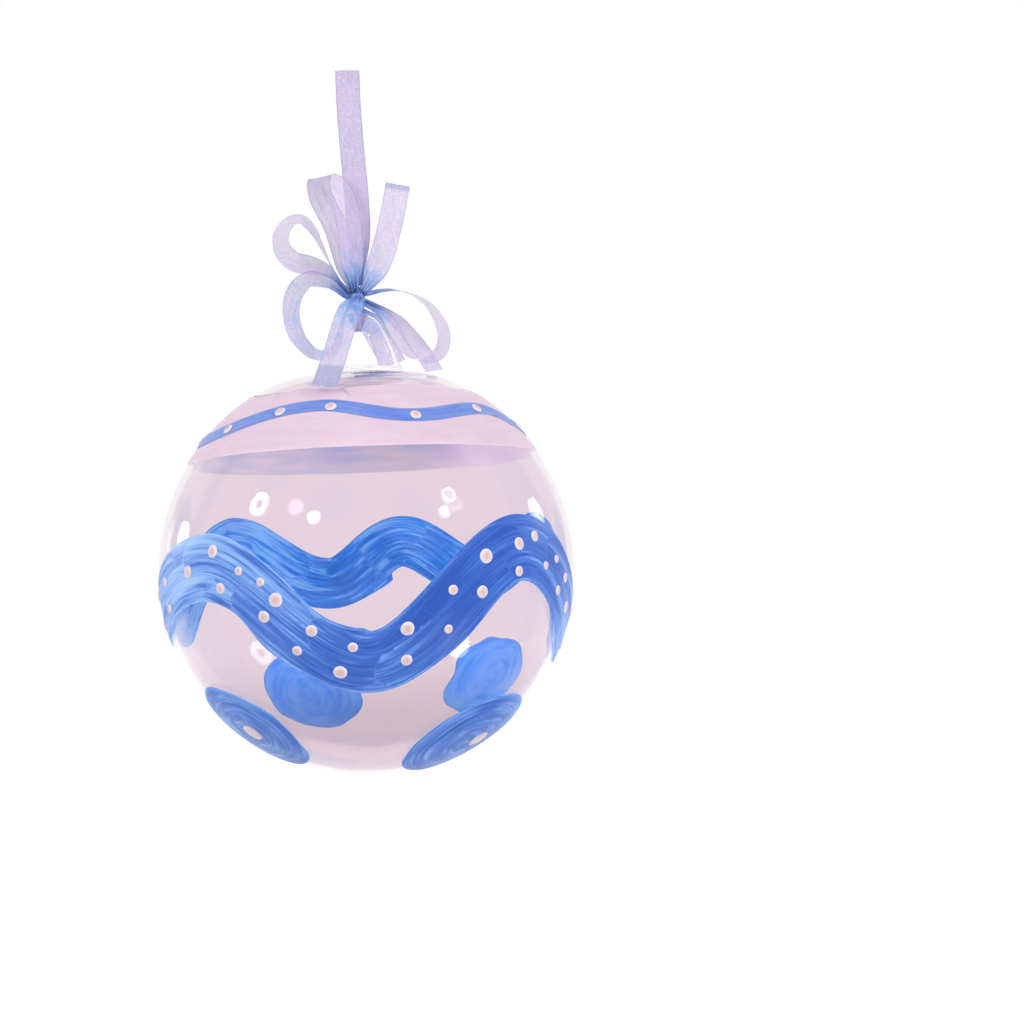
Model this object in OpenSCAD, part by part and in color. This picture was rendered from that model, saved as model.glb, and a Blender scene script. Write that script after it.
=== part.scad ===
// A hand-painted blown glass tree ornament: a hollow ball with an applied glass eye,
// a ribbon to hang it by, and two ribbons tied in bows over the eye.
// The origin is the middle of the hook that the hanging ribbon turns over.
// +Z is up, +X is to the right and the front faces -Y. All sizes are in millimetres.

/* [Ball] */
// Outside diameter of the blown ball
ball_d = 88; // [60:1:110]
// Thickness of the blown wall
wall = 1.2; // [0.8:0.1:3]
// How far the flattened crown lies below the full sphere
crown_drop = 2; // [0.5:0.1:4]
// Radius of the crown's shallow dome
dome_r = 100; // [60:1:200]

/* [Crown pad and eye] */
// Diameter of the glass pad fused to the crown
pad_d = 18.8; // [14:0.2:26]
// Height of the pad above the crown
pad_t = 0.8; // [0.5:0.1:2]
// Height of the eye above the pad
eye_h = 12.3; // [9:0.1:18]
// Bend radius of the eye's top, to the middle of its rod
eye_bend = 4; // [3:0.1:7]
// Lean of the eye's legs from upright, in degrees
eye_lean = 20; // [5:1:30]
// Thickness of the glass rod at the eye's top
rod_d = 3.4; // [2.5:0.1:5]
// Thickness of the glass rod at its feet
foot_d = 4.4; // [3:0.1:6]

/* [Ribbon] */
// Width of the ribbon
ribbon_w = 5.2; // [3:0.1:8]
// Thickness of the ribbon as modelled
ribbon_t = 0.3; // [0.2:0.05:0.6]
// Width of the ribbon where it is gathered into the knot
gathered_w = 2; // [1:0.1:3]
// Hook radius inside the top turn
hook_r = 2.2; // [1:0.1:5]
// From the hook's middle down to the knot's middle
hang_len = 47.4; // [30:0.1:90]
// Diameter of the knot
knot_d = 3.6; // [2.5:0.1:6]
// Number of turns wound round the knot
knot_turns = 3; // [2:1:5]
// Height of one of the knot's turns
turn_h = 1.8; // [1.2:0.1:3]
// Air round the eye's rod inside its ribbon wrap
wrap_air = 0.3; // [0.2:0.05:1]
// Half of the angle of the eye's bend that the wrap covers
wrap_half = 22; // [10:1:30]

/* [Paint] */
// Thickness of one coat of paint
paint_t = 0.15; // [0.1:0.01:0.4]
// Height of the white cap's lower edge above the ball's middle
cap_low = 23.4; // [15:0.1:28]
// Height of the white cap's upper edge above the ball's middle
cap_high = 36.9; // [34:0.1:38]
// Width of the stripe round the white cap
stripe_w = 3.8; // [2:0.1:6]
// Usual width of the wave band
wave_w = 12.2; // [6:0.1:14]
// Usual diameter of a painted dot
dot_d = 2.3; // [1:0.1:4]
// Number of evenly set dots round the back of the stripe
stripe_back_dots = 10; // [4:1:16]
// Number of evenly set dots in each of the wave's two rows round the back
wave_back_dots = 15; // [6:1:24]
// Distance of each of those rows from the wave's middle line
row_shift = 3.1; // [1:0.1:5]
// Diameter of a spot's pale middle
centre_d = 4.6; // [2:0.1:8]

/* [Hidden] */
$fn = 96;
ball_r = ball_d / 2;
pad_r = pad_d / 2;
rod_r = rod_d / 2;
foot_r = foot_d / 2;
knot_r = knot_d / 2;
knot_h = knot_turns * turn_h;
pad_round = min(0.4, pad_t / 2);
// A leg starts a hair thicker than the bend's end, which runs a few degrees into it
leg_step = 0.025 * rod_r;
bend_over = 4;
dome_facets = 360;

// Air between a coat and what it is on, wide enough for the flat facets of a curved band
coat_air = 0.05;
coat_1 = ball_r + coat_air;
coat_2 = coat_1 + paint_t + coat_air;
coat_3 = coat_2 + paint_t + coat_air;

// Air between the knot and what is tied into it
knot_air = 0.3;
// Air between the knot and the glass eye under it
seat_air = 0.35;
// Air under the pad, wide enough for the facets of the two curved faces
pad_air = 0.08;

// Heights in the frame, from the hook down
knot_z = -hang_len;
eye_top_z = knot_z - knot_h / 2 - seat_air;
eye_bend_z = eye_top_z - rod_r - eye_bend;
pad_top_z = eye_top_z - eye_h;
crown_z = pad_top_z - pad_t;
ball_z = crown_z - ball_r + crown_drop;
dome_z = crown_z - dome_r;

// Turning points of the stripe's middle line: azimuth from the front, height above the ball's
// middle, and the band's width there as a share of its usual width
stripe_line = [
    [18, 29.6, 1], [52, 31.6, 1], [84, 28.2, 1], [116, 32.4, 1], [149, 29.4, 1],
    [182, 32.4, 1], [215, 29.4, 1], [248, 32.4, 1], [284, 28, 1], [343, 32.4, 1]
];

// Turning points of the wave's middle line, given in the same way
wave_line = [
    [44.4, 2.6, 1.1], [88, -15.5, 1.12], [115, 5.8, 1], [144, -2.2, 1], [169, 7.1, 1],
    [192, -2.3, 1], [226, 7.7, 1], [261, -9.5, 1.02], [312.6, 1.2, 1.1], [359, -18.9, 1.05]
];

// Hand-set dots of the front: azimuth, distance above the line's middle, share of the usual size
stripe_front = [
    [-54.5, -0.3, 1], [-31.7, -0.4, 1], [-11.1, -0.6, 1], [18.9, -0.2, 1], [48.9, -0.3, 1]
];
upper_front = [
    [-67.8, 1.5, 0.87], [-44.1, 3.4, 1.13], [-35.9, 2.2, 0.76], [-30.6, 3.2, 0.76],
    [-26.2, 2.4, 1.24], [-17.2, 2.1, 1], [-6.5, 3.3, 0.85], [12.4, 3.2, 1.2], [23.5, 2.1, 0.87],
    [32.8, 2, 1.26], [42.9, 0.7, 1.13], [48.6, 2.6, 0.96], [58.3, 2, 0.74], [64.4, 2, 0.91]
];
lower_front = [
    [-69.1, -4, 0.87], [-53.7, -0.2, 1.13], [-39, -2.9, 0.96], [-26.3, -1.9, 1.04],
    [-17.3, -3.1, 0.87], [-7.5, -2.6, 1.17], [8, -1.9, 1], [18, -2.8, 0.78], [27.6, -2.8, 1.09],
    [41, -4.6, 0.91], [54.8, -1.6, 0.74], [63.2, -2.4, 0.91], [70.4, -0.9, 1.09]
];

// The round spots under the wave: azimuth, height, diameter
spots = [[-57, -32.4, 25.6], [50.5, -36.5, 28], [131, -25.6, 23], [206.6, -28.1, 23.4]];
// Their pale middles, some off the spot's own middle: azimuth, height
spot_middles = [[-55.2, -32.2], [56.6, -36], [131, -25.6], [206.6, -28.1]];

band_steps = 144;
wave_lanes = 5;
stripe_lanes = 2;

// Routes of the ribbons round the knot's middle: x, y, z and the turn of the ribbon's width.
// A turn of 0 lays the width along the piece's own side direction.
loop_up = [
    [-0.7, -4.2, 6, 0], [-0.9, -5, 12, 0], [-1.4, -5, 18, 0], [-3, -4.4, 23, -8],
    [-5.6, -1.2, 26.2, -12], [-7, 2.2, 26.8, -12], [-6.8, 5.2, 23.4, -8], [-4.2, 6.8, 17.8, 0],
    [-2.5, 6.4, 11.8, 0], [-1.3, 4.6, 6.4, 0]
];
loop_left = [
    [-5.4, -3.4, 5, 20], [-9, -4.4, 6.8, 35], [-12.8, -4, 7.8, 45], [-15.4, -2.6, 10.8, 45],
    [-15.6, -0.8, 14.4, 45], [-13.8, 1.2, 17.4, 40], [-11.2, 2, 18.2, 35],
    [-9, 2.4, 16, 25], [-7, 2.2, 12, 15], [-4.8, 1.8, 7, 5]
];
loop_low = [
    [-5.6, -4.2, 2.6, 20], [-9.6, -5.6, 3.6, 30], [-12.8, -6.2, 1, 40], [-13.9, -6.4, -3.6, 40],
    [-12.8, -6.4, -8.4, 40], [-9.8, -6.2, -12, 35], [-6.4, -5.8, -12.2, 30],
    [-4.2, -5.6, -9.2, 20], [-3.2, -5, -5.4, 10]
];
loop_right = [
    [7.4, 3.2, 2.2, 5], [12.4, 5.6, 1.4, 15], [16.8, 7.6, -2, 30], [18.9, 9, -6.8, 35],
    [18, 9.8, -10.6, 30], [14.8, 9.8, -12.4, 10], [11.4, 9, -11, -25],
    [8.6, 6.6, -7.6, -40], [6, 4.2, -3.6, -38]
];
tail_up = [
    [4, -2.4, 5, 0], [6.2, -3, 10, 0], [7.8, -3.2, 15.4, 0], [8.9, -3.2, 19.8, 0], [9.8, -3, 24, 0]
];
tail_low = [
    [-0.8, -6, -1.6, 0], [-2.5, -10.5, -6, 0], [-3.9, -14.5, -10.6, 0], [-5.5, -20, -16, 0],
    [-7.2, -27, -21.6, 0]
];
tail_inner = [
    [2.4, 4.6, -3.8, 0], [4.4, 6.6, -7.6, 0], [6.4, 8.4, -11, 0], [7.8, 9.8, -13.2, 0]
];
tail_outer = [
    [6.8, 7.8, -2.2, 0], [11, 11.6, -6.2, 0], [14.4, 14.6, -10.4, 0], [16.6, 16.8, -14, 0]
];
// Route of one strand of the hanging ribbon, from the top turn down; its y is for the front strand
strand = [[0, -2.2, -6, 0], [0.4, -1.7, -16, 0], [0.9, -1.2, -26, 0], [0.9, -0.8, -36, 0]];
route_cuts = 3;
gather_spans = 1.5;

glass = [0.89, 0.84, 0.88, 0.4];
white_paint = [0.9, 0.83, 0.89];
deep_blue = [0.3, 0.45, 0.78];
mid_blue = [0.42, 0.58, 0.88];
pale_dot = [0.93, 0.85, 0.84];
ribbon_lilac = [0.83, 0.78, 0.9, 0.7];
knot_blue = [0.36, 0.58, 0.86];

function unit(v) = v / norm(v);

// Direction from the ball's middle to a height on its surface at an azimuth
function toward(azimuth, height) =
    let (up = height / ball_r, out = sqrt(1 - up * up))
    [out * sin(azimuth), -out * cos(azimuth), up];

// Height and width share of a painted line at an azimuth, eased from one turning point to the next
function eased(from, to, share) = from + (to - from) * (1 - cos(180 * share)) / 2;
function on_span(from, to, azimuth) =
    let (gap = to[0] - from[0] + (to[0] < from[0] ? 360 : 0),
        past = azimuth - from[0] + (azimuth < from[0] ? 360 : 0))
    past <= gap ? eased([from[1], from[2]], [to[1], to[2]], past / gap) : undef;
function on_line(line, azimuth) =
    let (turned = azimuth - 360 * floor(azimuth / 360))
    [for (i = [0 : len(line) - 1])
        let (found = on_span(line[i], line[(i + 1) % len(line)], turned))
        if (found != undef) found][0];

// Direction to a point beside a painted line, `beside` millimetres above it along the surface
function beside_line(line, azimuth, beside) =
    let (here = toward(azimuth, on_line(line, azimuth)[0]),
        onward = toward(azimuth + 0.5, on_line(line, azimuth + 0.5)[0]) - here,
        above = unit(cross(here, onward)),
        angle = beside / ball_r * 180 / PI)
    here * cos(angle) + above * sin(angle);

// Moves what stands on the XY plane to the ball's surface, facing outward
module on_ball(direction, radius)
{
    tilt = acos(direction.z);
    swing = atan2(direction.y, direction.x);
    translate([0, 0, ball_z] + radius * direction)
        rotate([0, tilt, swing])
            children();
}

// One coat of paint over the whole ball
module coat(radius)
{
    translate([0, 0, ball_z])
        difference() {
            sphere(radius + paint_t);
            sphere(radius);
        }
}

// A painted band along a line round the ball, closed on itself
module painted_band(line, width, lanes, radius)
{
    rows = lanes + 1;
    directions = [
        for (i = [0 : band_steps - 1])
            let (azimuth = 360 * i / band_steps, broad = width * on_line(line, azimuth)[1])
            for (j = [0 : lanes])
                beside_line(line, azimuth, broad * (j / lanes - 0.5))
    ];
    inside = len(directions);
    points = concat(directions * radius, directions * (radius + paint_t));
    function at(i, j, layer) = layer * inside + (i % band_steps) * rows + j;
    function quad(a, b, c, d) = [[a, b, c], [a, c, d]];
    quads = [
        for (i = [0 : band_steps - 1]) each [
            for (j = [0 : lanes - 1]) each [
                quad(at(i, j, 1), at(i, j + 1, 1), at(i + 1, j + 1, 1), at(i + 1, j, 1)),
                quad(at(i, j, 0), at(i + 1, j, 0), at(i + 1, j + 1, 0), at(i, j + 1, 0))
            ],
            quad(at(i, 0, 1), at(i + 1, 0, 1), at(i + 1, 0, 0), at(i, 0, 0)),
            quad(at(i, lanes, 0), at(i + 1, lanes, 0), at(i + 1, lanes, 1), at(i, lanes, 1))
        ]
    ];
    translate([0, 0, ball_z])
        polyhedron(points, [for (pair = quads) each pair]);
}

// Dots of the usual size at even steps, in the form of the hand-set lists
function even_dots(first, last, count, beside) =
    [for (i = [0 : count - 1]) [first + (last - first) * i / (count - 1), beside, 1]];

// Dots beside a painted line
module dots(line, places, radius)
{
    for (place = places)
        on_ball(beside_line(line, place[0], place[1]), radius)
            cylinder(d = place[2] * dot_d, h = paint_t);
}

// A round patch of one coat
module patch(place, diameter, radius)
{
    direction = toward(place[0], place[1]);
    intersection() {
        coat(radius);
        on_ball(direction, ball_r / 2)
            cylinder(d = diameter, h = ball_r);
    }
}

// Point on the smooth curve through b and c, with a before and d after
function on_curve(a, b, c, d, t) = (
    2 * b + (c - a) * t + (2 * a - 5 * b + 4 * c - d) * t * t + (3 * b - a - 3 * c + d) * t * t * t
) / 2;
function smooth_route(route) =
    let (last = len(route) - 1)
    [
        for (i = [0 : last - 1], k = [0 : route_cuts - 1])
            on_curve(
                route[max(i - 1, 0)], route[i], route[i + 1], route[min(i + 2, last)], k / route_cuts
            ),
        route[last]
    ];

// Width of the ribbon some spans away from a gathered end
function spread_w(spans) =
    let (share = min(spans / gather_spans, 1))
    gathered_w + (ribbon_w - gathered_w) * share * share * (3 - 2 * share);

// A ribbon swept along a route. `gathered` tells which of its ends are gathered, as [first, last]
module ribbon(route, side, gathered)
{
    path = smooth_route(route);
    last = len(path) - 1;
    places = [for (p = path) [p[0], p[1], p[2]]];
    rings = [
        for (i = [0 : last])
            let (along = unit(places[min(i + 1, last)] - places[max(i - 1, 0)]),
                flat = unit(side - (side * along) * along),
                across = flat * cos(path[i][3]) + cross(along, flat) * sin(path[i][3]),
                out = cross(along, across) * ribbon_t / 2,
                from_first = gathered[0] ? i / route_cuts : gather_spans,
                from_last = gathered[1] ? (last - i) / route_cuts : gather_spans,
                half = across * spread_w(min(from_first, from_last)) / 2)
            each [
                places[i] - half - out, places[i] + half - out,
                places[i] + half + out, places[i] - half + out
            ]
    ];
    walls = [
        for (i = [0 : last - 1], j = [0 : 3])
            let (a = 4 * i + j, b = 4 * i + (j + 1) % 4)
            each [[a, a + 4, b + 4], [a, b + 4, b]]
    ];
    tip = 4 * last;
    ends = [[0, 1, 2], [0, 2, 3], [tip + 2, tip + 1, tip], [tip + 3, tip + 2, tip]];
    polyhedron(rings, concat(walls, ends));
}

// Where a ribbon meets the knot's side: angle round the knot from +X, height, turn of its width
function root(angle, height, turn) = [
    (knot_r + knot_air) * cos(angle), (knot_r + knot_air) * sin(angle), height, turn
];

// A bow ribbon's piece that starts at the knot, and ends there too if it is a loop
module tied(route, side, loop)
{
    color(ribbon_lilac)
        translate([0, 0, knot_z])
            ribbon(route, side, [true, loop]);
}

// The blown ball: a hollow sphere whose crown is flattened to a shallow dome
module ball_body(inset)
{
    intersection() {
        translate([0, 0, ball_z])
            sphere(ball_r - inset);
        translate([0, 0, dome_z])
            sphere(dome_r - inset, $fn = dome_facets);
    }
}

module glass_ball()
{
    color(glass)
        difference() {
            ball_body(0);
            ball_body(wall);
        }
}

// The pad has a rounded rim, and its underside follows the crown
module crown_pad()
{
    depth = dome_r - sqrt(dome_r * dome_r - pad_r * pad_r) + pad_t;
    color(glass)
        difference() {
            translate([0, 0, pad_top_z - depth])
                rotate_extrude() {
                    square([pad_r - pad_round, depth]);
                    square([pad_r, depth - pad_round]);
                    translate([pad_r - pad_round, depth - pad_round])
                        circle(pad_round);
                }
            translate([0, 0, dome_z])
                sphere(dome_r + pad_air, $fn = dome_facets);
        }
}

// One leg of the eye runs on from the bend's end down to the pad
module eye_leg()
{
    end_x = eye_bend * cos(eye_lean);
    end_z = eye_bend_z + eye_bend * sin(eye_lean);
    leg_len = (end_z - pad_top_z) / cos(eye_lean) + foot_r;
    taper = (foot_r - rod_r) / (leg_len - foot_r);
    translate([end_x, 0, end_z])
        rotate([0, 180 - eye_lean, 0])
            cylinder(h = leg_len, r1 = rod_r + leg_step, r2 = rod_r + taper * leg_len);
}

module eye_arch()
{
    start = eye_lean - bend_over;
    translate([0, 0, eye_bend_z])
        rotate([90, -start, 0])
            rotate_extrude(angle = 180 - 2 * start)
                translate([eye_bend, 0])
                    circle(rod_r);
}

module hanger_eye()
{
    color(glass)
        difference() {
            union() {
                eye_arch();
                eye_leg();
                mirror([1, 0, 0])
                    eye_leg();
            }
            translate([-ball_r, -ball_r, pad_top_z - ball_r])
                cube([ball_d, ball_d, ball_r]);
        }
}

module white_cap()
{
    color(white_paint)
        intersection() {
            coat(coat_1);
            translate([-ball_d, -ball_d, ball_z + cap_low])
                cube([2 * ball_d, 2 * ball_d, cap_high - cap_low]);
        }
}

module cap_stripe()
{
    color(mid_blue)
        painted_band(stripe_line, stripe_w, stripe_lanes, coat_2);
}

module cap_dots()
{
    color(pale_dot)
        dots(stripe_line, concat(stripe_front, even_dots(76, 281, stripe_back_dots, 0)), coat_3);
}

module wave_band()
{
    color(deep_blue)
        painted_band(wave_line, wave_w, wave_lanes, coat_1);
}

module wave_dots_upper()
{
    color(pale_dot)
        dots(wave_line, concat(upper_front, even_dots(78, 279, wave_back_dots, row_shift)), coat_2);
}

module wave_dots_lower()
{
    color(pale_dot)
        dots(wave_line, concat(lower_front, even_dots(84, 278, wave_back_dots, -row_shift)), coat_2);
}

module spot(i)
{
    color(mid_blue)
        patch(spots[i], spots[i][2], coat_1);
}

module spot_centre(i)
{
    color(pale_dot)
        patch(spot_middles[i], centre_d, coat_2);
}

// The top turn of the hanging ribbon, over the hook
module ribbon_turn()
{
    color(ribbon_lilac)
        rotate([90, 0, 90])
            rotate_extrude(angle = 180)
                translate([hook_r, -ribbon_w / 2])
                    square([ribbon_t, ribbon_w]);
}

// One strand of the hanging ribbon, from the turn down to the knot; `back` is 1 behind and -1 in front
module ribbon_strand(back)
{
    turn_y = hook_r + ribbon_t / 2;
    top = [[0, -turn_y, 0, 0], [0, -turn_y, -2, 0]];
    foot = [[0.3, -ribbon_t, knot_z + knot_h / 2 + knot_air, 0]];
    front = concat(top, strand, foot);
    route = [for (p = front) [p[0], -back * p[1], p[2], p[3]]];
    color(ribbon_lilac)
        ribbon(route, [1, 0, 0], [false, true]);
}

module ribbon_front()
{
    ribbon_strand(-1);
}

module ribbon_back()
{
    ribbon_strand(1);
}

// The gathered ribbon that wraps under the eye's bend, open at the top where it enters the knot
module eye_wrap()
{
    inner = rod_r + wrap_air;
    opening = 40;
    color(ribbon_lilac)
        translate([0, 0, eye_bend_z])
            rotate([90, 0, 0])
                rotate([0, 0, 90 - wrap_half])
                    rotate_extrude(angle = 2 * wrap_half)
                        translate([eye_bend, 0])
                            difference() {
                                circle(inner + ribbon_t);
                                circle(inner);
                                polygon([
                                    [0, 0],
                                    [2 * inner * cos(opening), -2 * inner * sin(opening)],
                                    [2 * inner, 0],
                                    [2 * inner * cos(opening), 2 * inner * sin(opening)]
                                ]);
                            }
}

// The knot is a few rounded turns of ribbon wound round the gathered loops
module bow_knot()
{
    color(knot_blue)
        translate([0, 0, knot_z])
            rotate_extrude()
                for (i = [0 : knot_turns - 1])
                    translate([0, (i - (knot_turns - 1) / 2) * turn_h]) {
                        translate([knot_r - turn_h / 2, 0])
                            circle(turn_h / 2);
                        translate([0, -turn_h / 2])
                            square([knot_r - turn_h / 2, turn_h]);
                    }
}

module bow_loop_up()
{
    tied(concat([root(-100, 2, 0)], loop_up, [root(105, 2, 0)]), [1, 0, 0], true);
}

module bow_loop_left()
{
    tied(concat([root(-150, 1.6, 0)], loop_left, [root(165, 0.8, 0)]), [0, 1, 0], true);
}

module bow_loop_low()
{
    tied(concat([root(-165, 0.3, 0)], loop_low, [root(-135, -1.2, 0)]), [0, 1, 0], true);
}

module bow_loop_right()
{
    tied(concat([root(5, 1.2, 0)], loop_right, [root(35, -1, 0)]), [0, 1, 0], true);
}

module bow_tail_up()
{
    tied(concat([root(-45, 1.6, 0)], tail_up), [1, 0, 0], false);
}

module bow_tail_low()
{
    tied(concat([root(-75, -0.2, 0)], tail_low), [1, 0, 0], false);
}

module bow_tail_inner()
{
    tied(concat([root(80, -1.8, 0)], tail_inner), [1, 0, 0], false);
}

module bow_tail_outer()
{
    tied(concat([root(70, 0.4, 0)], tail_outer), [1, -1, 0], false);
}

glass_ball();
crown_pad();
hanger_eye();
white_cap();
cap_stripe();
cap_dots();
wave_band();
wave_dots_upper();
wave_dots_lower();
spot(0);  // spot_1
spot(1);  // spot_2
spot(2);  // spot_3
spot(3);  // spot_4
spot_centre(0);  // spot_centre_1
spot_centre(1);  // spot_centre_2
spot_centre(2);  // spot_centre_3
spot_centre(3);  // spot_centre_4
ribbon_turn();
ribbon_front();
ribbon_back();
eye_wrap();
bow_knot();
bow_loop_up();
bow_loop_left();
bow_loop_low();
bow_loop_right();
bow_tail_up();
bow_tail_low();
bow_tail_inner();
bow_tail_outer();
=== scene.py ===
import math

import bmesh
import bpy
import numpy as np
from mathutils import Matrix, Vector, noise
from mathutils.bvhtree import BVHTree


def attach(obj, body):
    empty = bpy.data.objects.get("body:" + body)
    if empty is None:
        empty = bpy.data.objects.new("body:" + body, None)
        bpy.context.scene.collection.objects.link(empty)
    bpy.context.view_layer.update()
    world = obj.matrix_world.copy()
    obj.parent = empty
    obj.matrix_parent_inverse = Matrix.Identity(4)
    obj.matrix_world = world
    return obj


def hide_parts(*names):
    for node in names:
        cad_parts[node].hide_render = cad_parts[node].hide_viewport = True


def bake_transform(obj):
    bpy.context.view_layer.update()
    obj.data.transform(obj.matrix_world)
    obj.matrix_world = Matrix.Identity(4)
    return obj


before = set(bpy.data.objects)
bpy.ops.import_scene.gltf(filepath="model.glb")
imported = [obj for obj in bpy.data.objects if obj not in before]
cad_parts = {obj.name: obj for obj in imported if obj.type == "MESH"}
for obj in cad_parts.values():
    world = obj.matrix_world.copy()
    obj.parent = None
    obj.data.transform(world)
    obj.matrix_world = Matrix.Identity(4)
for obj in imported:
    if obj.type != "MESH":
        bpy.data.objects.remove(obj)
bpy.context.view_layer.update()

# ---- image points
W, H = 1024, 1024


def in_scene(name, data):
    made = bpy.data.objects.new(name, data)
    bpy.context.scene.collection.objects.link(made)
    return made


# ---- camera
CAMERA_PLACE = (0.0, -0.4, -0.11185)
CAMERA_AIM = (0.03140, 0.0, -0.09460)
CAMERA_ROLL = 2.6
CAMERA_LENS = 65.51

camera_data = bpy.data.cameras.new("camera")
camera_data.sensor_fit = "AUTO"
camera_data.sensor_width = 36
camera_data.lens = CAMERA_LENS
camera_data.clip_start, camera_data.clip_end = 0.01, 20
camera = in_scene("camera", camera_data)
look = (Vector(CAMERA_AIM) - Vector(CAMERA_PLACE)).to_track_quat("-Z", "Y")
camera.matrix_world = (
    Matrix.Translation(CAMERA_PLACE) @ look.to_matrix().to_4x4()
    @ Matrix.Rotation(math.radians(-CAMERA_ROLL), 4, "Z")
)
bpy.context.scene.camera = camera
bpy.context.scene.view_settings.view_transform = "Standard"

# ---- sizes, in millimetres, as in the CAD source
BALL_R, WALL = 44.0, 1.2
BALL_Z, KNOT_Z, EYE_BEND_Z = -105.55, -47.4, -56.15
DOME_R, DOME_Z = 100.0, -163.55
RIBBON_W, GATHERED_W, RIBBON_T = 5.2, 2.0, 0.3
HOOK_R, KNOT_R, KNOT_H, KNOT_TURNS = 2.2, 1.8, 5.4, 3
ROD_R, EYE_BEND, WRAP_HALF = 1.7, 4.0, 22
COAT_1, COAT_2, COAT_3 = 44.05, 44.25, 44.45
CAP_LOW, CAP_HIGH = 23.4, 36.9
DOT_D = 2.3
# Painted lines' turning points: azimuth from the front, height, and share of the usual width
STRIPE_LINE = [
    (18, 29.6, 1), (52, 31.6, 1), (84, 28.2, 1), (116, 32.4, 1), (149, 29.4, 1),
    (182, 32.4, 1), (215, 29.4, 1), (248, 32.4, 1), (284, 28, 1), (343, 32.4, 1),
]
WAVE_LINE = [
    (44.4, 2.6, 1.1), (88, -15.5, 1.12), (115, 5.8, 1), (144, -2.2, 1), (169, 7.1, 1),
    (192, -2.3, 1), (226, 7.7, 1), (261, -9.5, 1.02), (312.6, 1.2, 1.1), (359, -18.9, 1.05),
]
# Dots of the front, set one by one: azimuth, distance above the line's middle, share of the usual size
STRIPE_FRONT = [(-54.5, -0.3, 1), (-31.7, -0.4, 1), (-11.1, -0.6, 1), (18.9, -0.2, 1), (48.9, -0.3, 1)]
UPPER_FRONT = [
    (-67.8, 1.5, 0.87), (-44.1, 3.4, 1.13), (-35.9, 2.2, 0.76), (-30.6, 3.2, 0.76), (-26.2, 2.4, 1.24),
    (-17.2, 2.1, 1), (-6.5, 3.3, 0.85), (12.4, 3.2, 1.2), (23.5, 2.1, 0.87), (32.8, 2, 1.26),
    (42.9, 0.7, 1.13), (48.6, 2.6, 0.96), (58.3, 2, 0.74), (64.4, 2, 0.91),
]
LOWER_FRONT = [
    (-69.1, -4, 0.87), (-53.7, -0.2, 1.13), (-39, -2.9, 0.96), (-26.3, -1.9, 1.04), (-17.3, -3.1, 0.87),
    (-7.5, -2.6, 1.17), (8, -1.9, 1), (18, -2.8, 0.78), (27.6, -2.8, 1.09), (41, -4.6, 0.91),
    (54.8, -1.6, 0.74), (63.2, -2.4, 0.91), (70.4, -0.9, 1.09),
]
SPOTS = [(-57, -32.4, 25.6), (50.5, -36.5, 28), (131, -25.6, 23), (206.6, -28.1, 23.4)]
SPOT_MIDDLES = [(-55.2, -32.2), (56.6, -36), (131, -25.6), (206.6, -28.1)]


def rough(point, scale, seed=0.0):
    """Smooth noise from -1 to 1 at a point in millimetres, `scale` millimetres from one bump to the next."""
    return noise.noise(Vector(point) / scale + Vector((seed * 7.3, seed * 3.1, seed * 5.7)))


def make_object(name, points, faces, smooth_angle, uvs=None, attributes=None, closed=True):
    """A mesh piece from points in millimetres in the row frame. A closed one has its faces turned outward."""
    mesh = bpy.data.meshes.new(name)
    mesh.from_pydata((np.asarray(points) * 0.001).tolist(), [], faces)
    if closed:
        bm = bmesh.new()
        bm.from_mesh(mesh)
        bmesh.ops.recalc_face_normals(bm, faces=bm.faces)
        bm.to_mesh(mesh)
        bm.free()
    for key, values in (attributes or {}).items():
        values = np.asarray(values, np.float32)
        kind, field = ("FLOAT_VECTOR", "vector") if values.ndim == 2 else ("FLOAT", "value")
        mesh.attributes.new(key, kind, "POINT").data.foreach_set(field, values.ravel())
    if uvs is not None:
        layer = mesh.uv_layers.new(name="UVMap")
        corner = np.zeros(len(mesh.loops), np.int32)
        mesh.loops.foreach_get("vertex_index", corner)
        layer.data.foreach_set("uv", np.asarray(uvs, np.float32)[corner].ravel())
    mesh.validate()
    mesh.shade_smooth()
    if smooth_angle:
        mesh.set_sharp_from_angle(angle=math.radians(smooth_angle))
    return in_scene(name, mesh)


def grid_faces(rows, columns, closed, start=0, flip=False):
    """Quads of a grid of points, row by row; `closed` joins the last row to the first."""
    faces = []
    for i in range(rows if closed else rows - 1):
        for j in range(columns - 1):
            a, b = start + i * columns + j, start + (i + 1) % rows * columns + j
            faces.append((a, a + 1, b + 1, b) if flip else (a, b, b + 1, a + 1))
    return faces


# ---- ribbons (the cords)
CUTS = 14
GATHER_SPANS = 1.5
ACROSS = 14

LOOP_UP = [
    (-0.7, -4.2, 6, 0), (-0.9, -5, 12, 0), (-1.4, -5, 18, 0), (-3, -4.4, 23, -8),
    (-5.6, -1.2, 26.2, -12), (-7, 2.2, 26.8, -12), (-6.8, 5.2, 23.4, -8), (-4.2, 6.8, 17.8, 0),
    (-2.5, 6.4, 11.8, 0), (-1.3, 4.6, 6.4, 0),
]
LOOP_LEFT = [
    (-5.4, -3.4, 5, 20), (-9, -4.4, 6.8, 35), (-12.8, -4, 7.8, 45), (-15.4, -2.6, 10.8, 45),
    (-15.6, -0.8, 14.4, 45), (-13.8, 1.2, 17.4, 40), (-11.2, 2, 18.2, 35), (-9, 2.4, 16, 25),
    (-7, 2.2, 12, 15), (-4.8, 1.8, 7, 5),
]
LOOP_LOW = [
    (-5.6, -4.2, 2.6, 20), (-9.6, -5.6, 3.6, 30), (-12.8, -6.2, 1, 40), (-13.9, -6.4, -3.6, 40),
    (-12.8, -6.4, -8.4, 40), (-9.8, -6.2, -12, 35), (-6.4, -5.8, -12.2, 30), (-4.2, -5.6, -9.2, 20),
    (-3.2, -5, -5.4, 10),
]
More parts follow.
